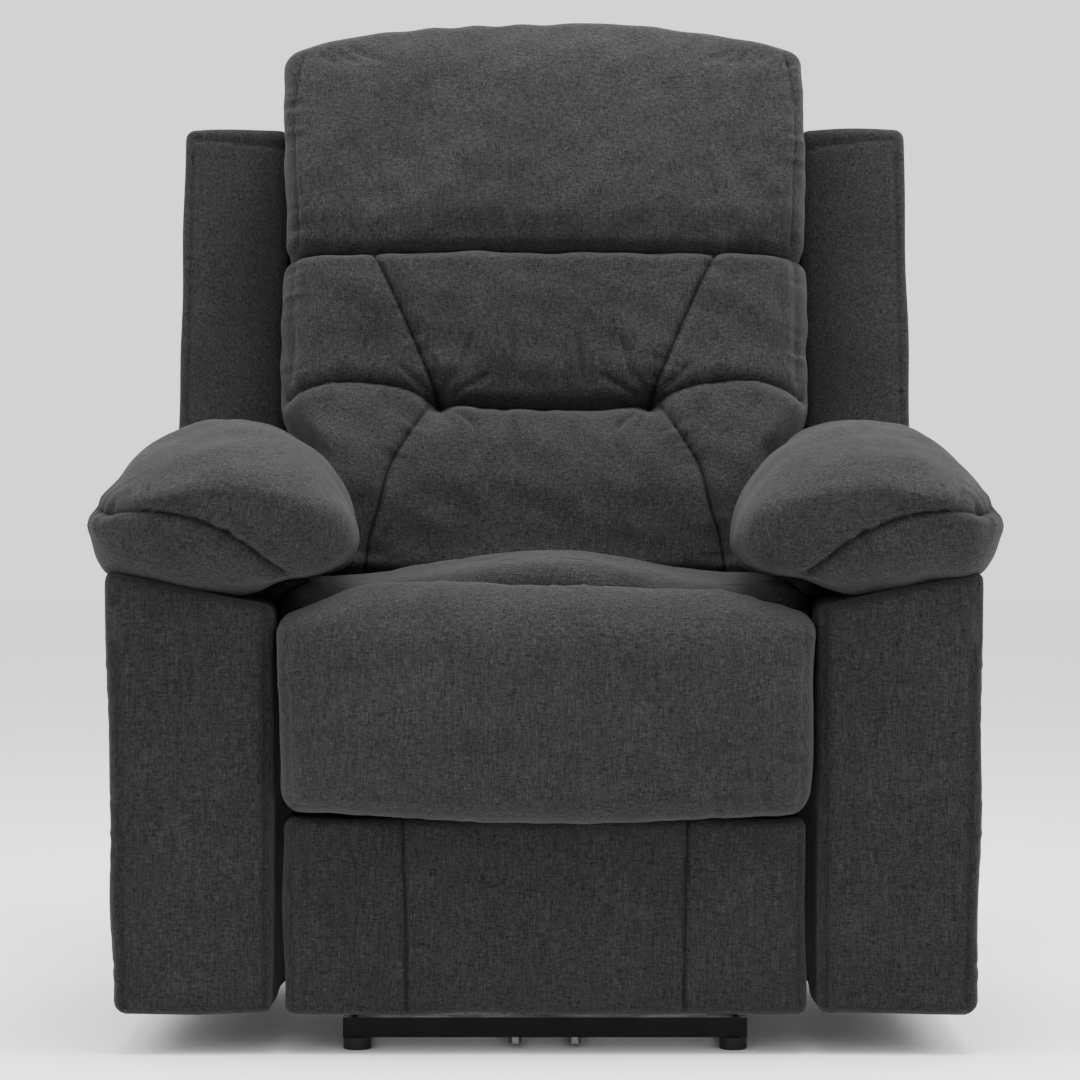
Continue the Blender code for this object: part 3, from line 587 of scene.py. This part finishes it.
def press_tuft(skin, mask, sign, tuft, waist):
    """The dimple where one side's seams meet, and the folds that run out from it."""
    spot = np.array([sign * tuft, 0, waist])
    gap = np.linalg.norm((skin.rest - spot) * (1, 0, 1), axis=1)
    skin.push(-0.007 * bell(gap, 0.018) * mask)
    for k, turn in enumerate((-68, -40, 28, 62, 100, 140)):
        a = math.radians(turn if sign < 0 else 180 - turn)
        reach = 0.045 + 0.013 * (k % 3)
        fold = [(spot[0] + 0.010 * math.cos(a), 0, waist + 0.010 * math.sin(a)),
                (spot[0] + reach * math.cos(a), 0, waist + reach * math.sin(a))]
        skin.fold(fold, 0.0032, 0.0034, mask, flat=1, fade=0.016)


def press_waist_folds(skin, mask, waist):
    """A few upright folds below and above the waist crease."""
    for x, seed in ((-0.035, 1), (0.04, 2), (0.092, 3), (-0.088, 4)):
        bend = np.random.default_rng(seed).uniform(-0.012, 0.012)
        below = curve([(x, 0, waist - 0.012), (x + bend, 0, waist - 0.045),
                       (x + 0.4 * bend, 0, waist - 0.085)])
        skin.fold(below, 0.0040, 0.0034, mask, flat=1, fade=0.03)
        above = curve([(x - bend, 0, waist + 0.012), (x, 0, waist + 0.060), (x + bend, 0, waist + 0.085)])
        skin.fold(above, 0.0038, 0.0034, mask, flat=1, fade=0.025)


def make_wing(sign, word):
    """Side wing of the back: its front slopes back towards the cushions, with a seam along two edges."""
    lo, hi = local_box("wing_" + word)
    inner = min(abs(lo[0]), abs(hi[0])) + 0.0005
    outer = max(abs(lo[0]), abs(hi[0])) + 0.002
    rear, front, bottom, top = hi[1], lo[1], lo[2], hi[2]

    def warp(co):
        x, y, z = co.T.copy()
        t = (np.abs(x) - inner) / (outer - inner)
        forward = smooth(-y, -rear, -front)
        y = y + 0.040 * (1 - t) * forward - 0.006 * forward * arch(t, 0, 1)
        z = z + 0.014 * (1 - t) * smooth(z, top - 0.08, top)
        return np.stack([x, y, z], 1)

    xs = sorted((sign * inner, sign * outer))
    skin = soft_box("wing_cover_" + word, (xs[0], front, bottom), (xs[1], rear, top), 0.011,
                    place=BACK, warp=warp)
    skin.push(0.0010 * lumps(skin.rest, 0.12, 70 + sign))
    x = sign * (outer - 0.010)
    upright = curve([(x, 0, bottom + 0.01), (x, 0, (bottom + top) / 2), (x, 0, top - 0.030)])
    level = curve([(x, 0, top - 0.012), (sign * inner, 0, top - 0.011)])
    for seam, seed in ((upright, 73 + sign), (level, 75 + sign)):
        skin.groove(seam, 0.0022, 0.0035, front_mask(skin), flat=1, pucker=0.0004, pitch=0.018, reach=0.01,
                    seed=seed, line=0.0012, painted_shade=0.4)
    return skin.done(PANEL, "back", ["wing_" + word], 0.9, "charcoal_panel")


def make_back_panel():
    """Outer back: a shallow dome of cloth inside a seam that runs round all four edges."""
    lo, hi = local_box("back_panel")

    def warp(co):
        x, y, z = co.T.copy()
        y = y - 0.006 + 0.008 * dome(x, hi[0]) * arch(z, lo[2], hi[2]) * smooth(y, lo[1], hi[1])
        return np.stack([x, np.maximum(y, lo[1] + 0.0002), z], 1)

    skin = soft_box("back_cover", lo, hi, (0.014, 0.012, 0.014), COARSE, BACK, warp)
    rear = skin.facing(1, 1, 0.0, 0.5)
    skin.push(0.0014 * lumps(skin.rest, 0.2, 81) * rear)
    margin = 0.030
    w, b, t = hi[0] - margin, lo[2] + margin, hi[2] - margin
    edges = (((-w, 0, b), (-w, 0, t)), ((w, 0, b), (w, 0, t)), ((-w, 0, t), (w, 0, t)),
             ((-w, 0, b), (w, 0, b)))
    for k, path in enumerate(edges):
        skin.groove(path, 0.003, 0.006, rear, flat=1, pucker=0.0005, pitch=0.03, reach=0.02, seed=82 + k,
                    line=0.002)
    return skin.done(PANEL, "back", ["back_panel"], 0.9, "charcoal_panel")


# ---------------------------------------------------------------- arms and seat

def make_arm_case(sign, word):
    """Arm body: a padded case whose top slopes to the seat and whose rear leans with the back."""
    lo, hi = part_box("arm_case_" + word)
    inner, outer = sorted((abs(lo.x), abs(hi.x)))
    rear_low = HINGE.y - 0.070
    kink = HINGE.z - 0.020

    def warp(co):
        x, y, z = co.T.copy()
        x = np.abs(x)
        t = (x - inner) / (outer - inner)
        z = z + (0.011 - 0.036 * (1 - t)) * smooth(z, hi.z - 0.10, hi.z)
        y = y + (np.maximum(z - kink, 0) * math.tan(LEAN)) * smooth(y, rear_low - 0.10, rear_low)
        # The outer side narrows towards the floor, and both faces swell a little
        taper = 0.008 * (1 - (z - lo.z) / (hi.z - lo.z))
        x = x + (0.006 - taper) * smooth(t, 0.4, 1.0)
        swell = arch(z, lo.z, hi.z)
        x = x + 0.004 * swell * smooth(t, 0.9, 1.0) * smooth(y, lo.y + 0.005, lo.y + 0.08)
        y = y - 0.004 * swell * (1 - smooth(y, lo.y, lo.y + 0.02)) * arch(t, 0, 1)
        return np.stack([sign * x, y, z], 1)

    xs = sorted((sign * inner, sign * outer))
    skin = soft_box("arm_cover_" + word, (xs[0], lo.y + 0.002, lo.z), (xs[1], rear_low, hi.z - 0.001),
                    0.011, COARSE, None, warp)
    skin.push(0.0013 * lumps(skin.rest, 0.15, 90 + sign))
    face = skin.facing(1, -1, 0.1, 0.6)
    for x, inward in ((outer - 0.004, 0.009), (inner + 0.008, 0.0)):
        seam = [(sign * (x - inward), 0, lo.z + 0.004), (sign * x, 0, hi.z - 0.02)]
        skin.groove(seam, 0.0022, 0.0030, face, flat=1, pucker=0.0004, pitch=0.024, reach=0.014,
                    seed=93 + sign, line=0.0014, painted_shade=0.35)
    flank = skin.facing(0, sign, 0.1, 0.6)
    seam = [(0, lo.y + 0.012, lo.z), (0, lo.y + 0.012, hi.z)]
    skin.groove(seam, 0.0024, 0.004, flank, flat=0, pucker=0.0005, pitch=0.024, reach=0.016, seed=97,
                line=0.0016, painted_shade=0.5)
    return skin.done(PANEL, "carriage", ["arm_case_" + word], 0.9, "charcoal_panel")


def make_arm_pad(sign, word):
    """Overstuffed arm roll: its inner side hangs lower than the case, and a gusset closes the front."""
    lo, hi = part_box("arm_pad_" + word)
    inner, outer = sorted((abs(lo.x), abs(hi.x)))
    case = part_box("arm_case_" + word)
    case_inner = min(abs(case[0].x), abs(case[1].x))
    base, top = lo.z, hi.z + 0.002
    front, rear = lo.y, hi.y
    step = rear - 0.062
    seam_share = 0.455

    def spot(u, v):
        """The place at shares u and v of the pad's width, from the seat outwards, and of its height."""
        return inner + u * (outer - inner), base + v * (top - base)

    section = [spot(*uv) for uv in (
        (1.022, 0.33), (0.98, 0.52), (0.84, 0.82), (0.58, 1.00), (0.33, 0.95), (0.13, 0.72), (0.01, 0.30),
        (0.04, 0.02), (0.13, -0.08), (0.30, -0.10), (0.62, -0.075), (0.90, 0.0), (0.985, 0.12))]
    middle = spot(0.52, 0.44)
    seam_height = spot(0, seam_share)[1]

    def warp(co):
        x, y, z = co.T.copy()
        t = (x - inner) / (outer - inner)
        # The nose falls away in front, and is cut back below the seam
        nose = smooth(front + 0.20 - y, 0, 0.20)
        z = z - 0.046 * nose ** 3 * smooth(z, seam_height - 0.02, top)
        y = y + 0.018 * nose * (1 - smooth(z, base - 0.02, seam_height))
        # Behind the nose the inner underside is raised, clear of the footrest pad as it swings out
        underside = (1 - smooth(z, base - 0.02, base + 0.05)) * (1 - smooth(t, 0.25, 0.5))
        z = z + 0.018 * smooth(y, front + 0.010, front + 0.045) * underside
        # Towards the rear the inner side moves outwards, and at the back it stays past the case's inner face
        x = x + 0.036 * smooth(y, front + 0.05, step) * (1 - t)
        inner_rear = smooth(y, step - 0.05, step + 0.005) * (
            1 - smooth(x, case_inner - 0.03, case_inner + 0.045))
        x = x + inner_rear * np.maximum(case_inner + 0.004 - x, 0)
        return np.stack([sign * x, y, z], 1)

    skin = soft_roll("arm_pad_cover_" + word, middle, section, (front + 0.001, rear), (0.050, 0.050),
                     FINEST, warp)
    if sign < 0:
        skin.mesh.flip_normals()
        skin.find_normals()
    skin.push(0.0026 * lumps(skin.rest * (sign, 1, 1), 0.14, 101)
              + 0.0012 * lumps(skin.rest, 0.055, 102 + sign))
    face = skin.facing(1, -1, 0.15, 0.5)
    gusset = curve([(sign * x, 0, z) for x, z in (
        spot(1.03, seam_share), spot(0.82, 0.445), spot(0.63, 0.39), spot(0.47, 0.27), spot(0.32, 0.08),
        spot(0.20, -0.08))])
    skin.groove(gusset, 0.0045, 0.008, face, flat=1, pucker=0.0022, pitch=0.030, reach=0.024, seed=110)
    skin.groove(gusset, 0.0030, 0.0028, face, flat=1)
    flank = skin.facing(0, sign, 0.2, 0.6) * smooth(skin.rest[:, 1], front, front + 0.03)
    seam = [(0, front, seam_height), (0, rear - 0.02, seam_height - 0.004)]
    skin.groove(seam, 0.0055, 0.007, flank, flat=0, pucker=0.0018, pitch=0.034, reach=0.024, seed=112,
                line=0.0018)
    # Long folds over the inner shoulder
    rng = np.random.default_rng(114)
    for k in range(6):
        y = front + 0.07 + 0.085 * k + rng.uniform(-0.02, 0.02)
        x, z = spot(0.10 + rng.uniform(0, 0.08), 0.45)
        fold = curve([(sign * x, y, z), (sign * (x + 0.040), y + 0.014, z + 0.055)])
        skin.fold(fold, 0.0026, 0.006, fade=0.025)
    # Short gathers above the gusset seam
    for k in range(9):
        u = 0.93 - 0.075 * k
        x, z = spot(u, seam_share - max(0, 0.80 - u) ** 1.4 * 0.9)
        rise = 0.014 + 0.006 * (k % 3)
        gather = [(sign * x, 0, z + 0.002), (sign * (x + 0.003), 0, z + rise)]
        skin.fold(gather, 0.0026, 0.0038, face, flat=1, fade=0.006)
    return skin.done(WEAVE, "carriage", ["arm_pad_" + word], 0.75, "charcoal_weave")


def make_seat():
    """Seat cushion: crowned in the middle, lower at the sides and the rear."""
    lo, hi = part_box("seat_cushion")
    half = hi.x
    shoulder = half - 0.095

    def warp(co):
        x, y, z = co.T.copy()
        up = smooth(z, lo.z + 0.02, hi.z)
        z = z - 0.024 * up * smooth(np.abs(x), 0.02, shoulder + 0.03)
        z = z - 0.042 * up * smooth(y, hi.y - 0.13, hi.y)
        z = z + 0.003 * up * dome(x, half)
        return np.stack([x, y, z], 1)

    skin = soft_box("seat_cover", (lo.x, lo.y + 0.001, lo.z), (hi.x, hi.y, hi.z - 0.001),
                    (0.025, 0.036, 0.034), SEAT_SPACING, None, warp)
    skin.push(0.0022 * lumps(skin.rest, 0.14, 120) + 0.0007 * lumps(skin.rest, 0.05, 121))
    seam = curve([(-half, lo.y + 0.046, 0), (0, lo.y + 0.038, 0), (half, lo.y + 0.046, 0)])
    upper = skin.facing(2, 1, 0.2, 0.6)
    skin.groove(seam, 0.003, 0.005, upper, flat=2, pucker=0.0008, pitch=0.03, reach=0.02, seed=122,
                line=0.0020)
    return skin.done(WEAVE, "carriage", ["seat_cushion"], 0.8, "charcoal_weave")


def make_footrest_pad():
    """Padded footrest: it laps over its board, and its top falls away towards the ends, which swing out past the
    arms.
    """
    lo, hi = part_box("footrest_upper_pad")
    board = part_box("footrest_board")
    half = hi.x + 0.008
    face = board[0].y - 0.0005
    crown = hi.z + 0.006
    lip = board[1].z

    def warp(co):
        x, y, z = co.T.copy()
        ends = smooth(np.abs(x), half - 0.105, half)
        up = smooth(z, lo.z + 0.11, crown)
        z = z - 0.024 * up * ends - 0.005 * up * smooth(np.abs(x), 0.08, 0.20)
        # Above the board the pad laps back over it
        back = smooth(y, lo.y + 0.05, face) * smooth(z, lip + 0.002, lip + 0.025)
        y = y + back * (hi.y - face)
        # The lower edge sags in the middle, and the corners and the top edge turn back
        z = z + (0.003 - 0.010 * dome(x, half)) * (1 - smooth(z, lo.z, lo.z + 0.09))
        y = y + 0.012 * ends ** 2 * smooth(-y, -face, -lo.y)
        y = y + 0.024 * smooth(z, crown - 0.085, crown) ** 2 * smooth(-y, -face, -lo.y)
        x = x * (1 - 0.026 * (1 - smooth(z, lo.z, lo.z + 0.20)))
        return np.stack([x, y, z], 1)

    skin = soft_box("footrest_pad", (-half, lo.y + 0.001, lo.z + 0.003), (half, face, crown),
                    (0.018, 0.036, 0.026), FINE, None, warp)
    skin.push(0.0024 * lumps(skin.rest, 0.17, 130) + 0.0007 * lumps(skin.rest, 0.05, 131))
    top_seam = curve([(-half + 0.02, lo.y + 0.070, crown - 0.024), (-0.17, lo.y + 0.074, crown - 0.006),
                      (0, lo.y + 0.076, crown), (0.17, lo.y + 0.074, crown - 0.006),
                      (half - 0.02, lo.y + 0.070, crown - 0.024)])
    upper = skin.facing(2, 1, 0.2, 0.6)
    skin.groove(top_seam, 0.0042, 0.006, upper, flat=2, pucker=0.0010, pitch=0.028, reach=0.02, seed=133,
                line=0.0020)
    for sign in (-1, 1):
        side = curve([(sign * (half - 0.012), 0, crown - 0.050), (sign * (half - 0.011), 0, crown - 0.100),
                      (sign * (half - 0.014), 0, lo.z + 0.09), (sign * (half - 0.018), 0, lo.z + 0.01)])
        skin.groove(side, 0.0030, 0.005, front_mask(skin), flat=1, pucker=0.0020, pitch=0.022, reach=0.016,
                    seed=135 + sign, line=0.0016, painted_shade=0.4)
    hem = curve([(-half, lo.y, lo.z + 0.012), (0, lo.y, lo.z + 0.001), (half, lo.y, lo.z + 0.012)])
    skin.groove(hem, 0.003, 0.010, pucker=0.0016, pitch=0.045, reach=0.03, seed=137, line=0.003)
    pad = skin.done(WEAVE, "footrest", ["footrest_upper_pad"], 0.8, "charcoal_weave")
    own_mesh(pad)
    return pad


def make_footrest_panel():
    """Lower footrest panel: nearly flat, with two upright seams and a stitched edge at each side."""
    lo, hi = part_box("footrest_lower_pad")
    half = hi.x - 0.001
    # The upright seams' places are given for a panel 0.522 m wide, and follow the real width from there
    wide = half / 0.261

    def warp(co):
        x, y, z = co.T.copy()
        y = y - 0.004 * dome(x, half) * arch(z, lo.z, hi.z) * smooth(-y, -hi.y, -lo.y)
        return np.stack([x, y, z], 1)

    skin = soft_box("footrest_panel", (-half, lo.y + 0.003, lo.z), (half, hi.y, hi.z), 0.010, FINE, None,
                    warp)
    skin.push(0.0010 * lumps(skin.rest, 0.12, 140))
    face = skin.facing(1, -1, 0.1, 0.6)
    for sign in (-1, 1):
        seam = [(sign * 0.138 * wide, 0, lo.z), (sign * 0.142 * wide, 0, hi.z)]
        skin.groove(seam, 0.0020, 0.0030, face, flat=1, pucker=0.0005, pitch=0.03, reach=0.014,
                    seed=142 + sign, line=0.0015, painted_shade=0.8)
        edge = [(sign * (half - 0.007), 0, lo.z), (sign * (half - 0.007), 0, hi.z)]
        skin.groove(edge, 0.0016, 0.004, face, flat=1, line=0.0014, painted_shade=0.3)
    return skin.done(PANEL, "footrest", ["footrest_lower_pad"], 0.9, "charcoal_panel")


# ---------------------------------------------------------------- studio

FLOOR_HALF = 12
LIGHT_AIM = (0, 0, 0.6)
CAMERA_PLACE = (-0.0052, -4.433, 0.605)
CAMERA_DOWN = 1.28
CAMERA_LENS = 134.07
CAMERA_SENSOR = 36


def area(name, place, size, power):
    """A rectangular studio light, aimed at the chair."""
    data = bpy.data.lights.new(name, "AREA")
    data.shape = "RECTANGLE"
    data.size, data.size_y = size
    data.energy = power
    light = bpy.data.objects.new(name, data)
    bpy.context.scene.collection.objects.link(light)
    light.location = place
    light.rotation_euler = (Vector(LIGHT_AIM) - Vector(place)).to_track_quat("-Z", "Y").to_euler()


def make_floor():
    f = FLOOR_HALF
    mesh = bpy.data.meshes.new("floor")
    mesh.from_pydata([(-f, -f, 0), (f, -f, 0), (f, f, 0), (-f, f, 0)], [], [(0, 1, 2, 3)])
    mesh.materials.append(plain("floor_pale", (0.93, 0.93, 0.93), 0.9))
    floor = bpy.data.objects.new("floor", mesh)
    bpy.context.scene.collection.objects.link(floor)


def make_lights():
    world = bpy.data.worlds.new("studio")
    world.use_nodes = True
    back = world.node_tree.nodes["Background"]
    back.inputs["Color"].default_value = (1, 1, 1, 1)
    back.inputs["Strength"].default_value = 1.55
    bpy.context.scene.world = world
    area("key_top", (0.2, -0.45, 3.3), (2.4, 2.0), 200)
    area("fill_left", (-2.5, -1.0, 2.7), (1.6, 2.0), 62)
    area("fill_right", (2.6, -0.9, 2.7), (1.6, 2.0), 66)


def make_camera():
    data = bpy.data.cameras.new("camera")
    data.lens = CAMERA_LENS
    data.sensor_width = CAMERA_SENSOR
    camera = bpy.data.objects.new("camera", data)
    bpy.context.scene.collection.objects.link(camera)
    camera.location = CAMERA_PLACE
    camera.rotation_euler = Euler((math.radians(90 - CAMERA_DOWN), 0, 0))
    bpy.context.scene.camera = camera


dress_frame()
make_headrest()
make_back_cushion()
make_back_panel()
make_seat()
make_footrest_pad()
make_footrest_panel()
for sign, word in ((1, "left"), (-1, "right")):
    make_wing(sign, word)
    make_arm_case(sign, word)
    make_arm_pad(sign, word)
make_floor()
make_lights()
make_camera()
